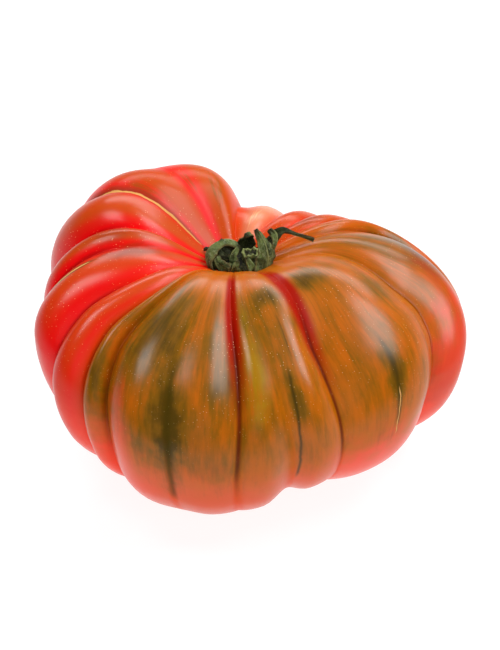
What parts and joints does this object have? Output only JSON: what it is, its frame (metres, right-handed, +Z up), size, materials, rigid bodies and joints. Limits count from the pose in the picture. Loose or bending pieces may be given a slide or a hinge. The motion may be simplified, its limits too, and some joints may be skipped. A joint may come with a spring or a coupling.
{
  "type": "tomato",
  "caption": "Large ribbed beefsteak tomato, flattened and lopsided, with a dried curled calyx and the broken stub of its stem.",
  "frame": {"origin": "on the surface it rests on, under the middle of the fruit's plan", "axes": "+Z up, -Y towards the viewer of the picture, +X to the viewer's right along the fruit's widest way"},
  "size_m": [0.1074, 0.1, 0.0596],
  "materials": {
    "skin": "glossy, waxy fruit skin",
    "calyx": "matt, dry leaf",
    "stub": "matt, torn stem"
  },
  "bodies": {
    "root": {"fruit": "skin", "calyx": "calyx", "stem_stub": "stub"}
  },
  "joints": []
}
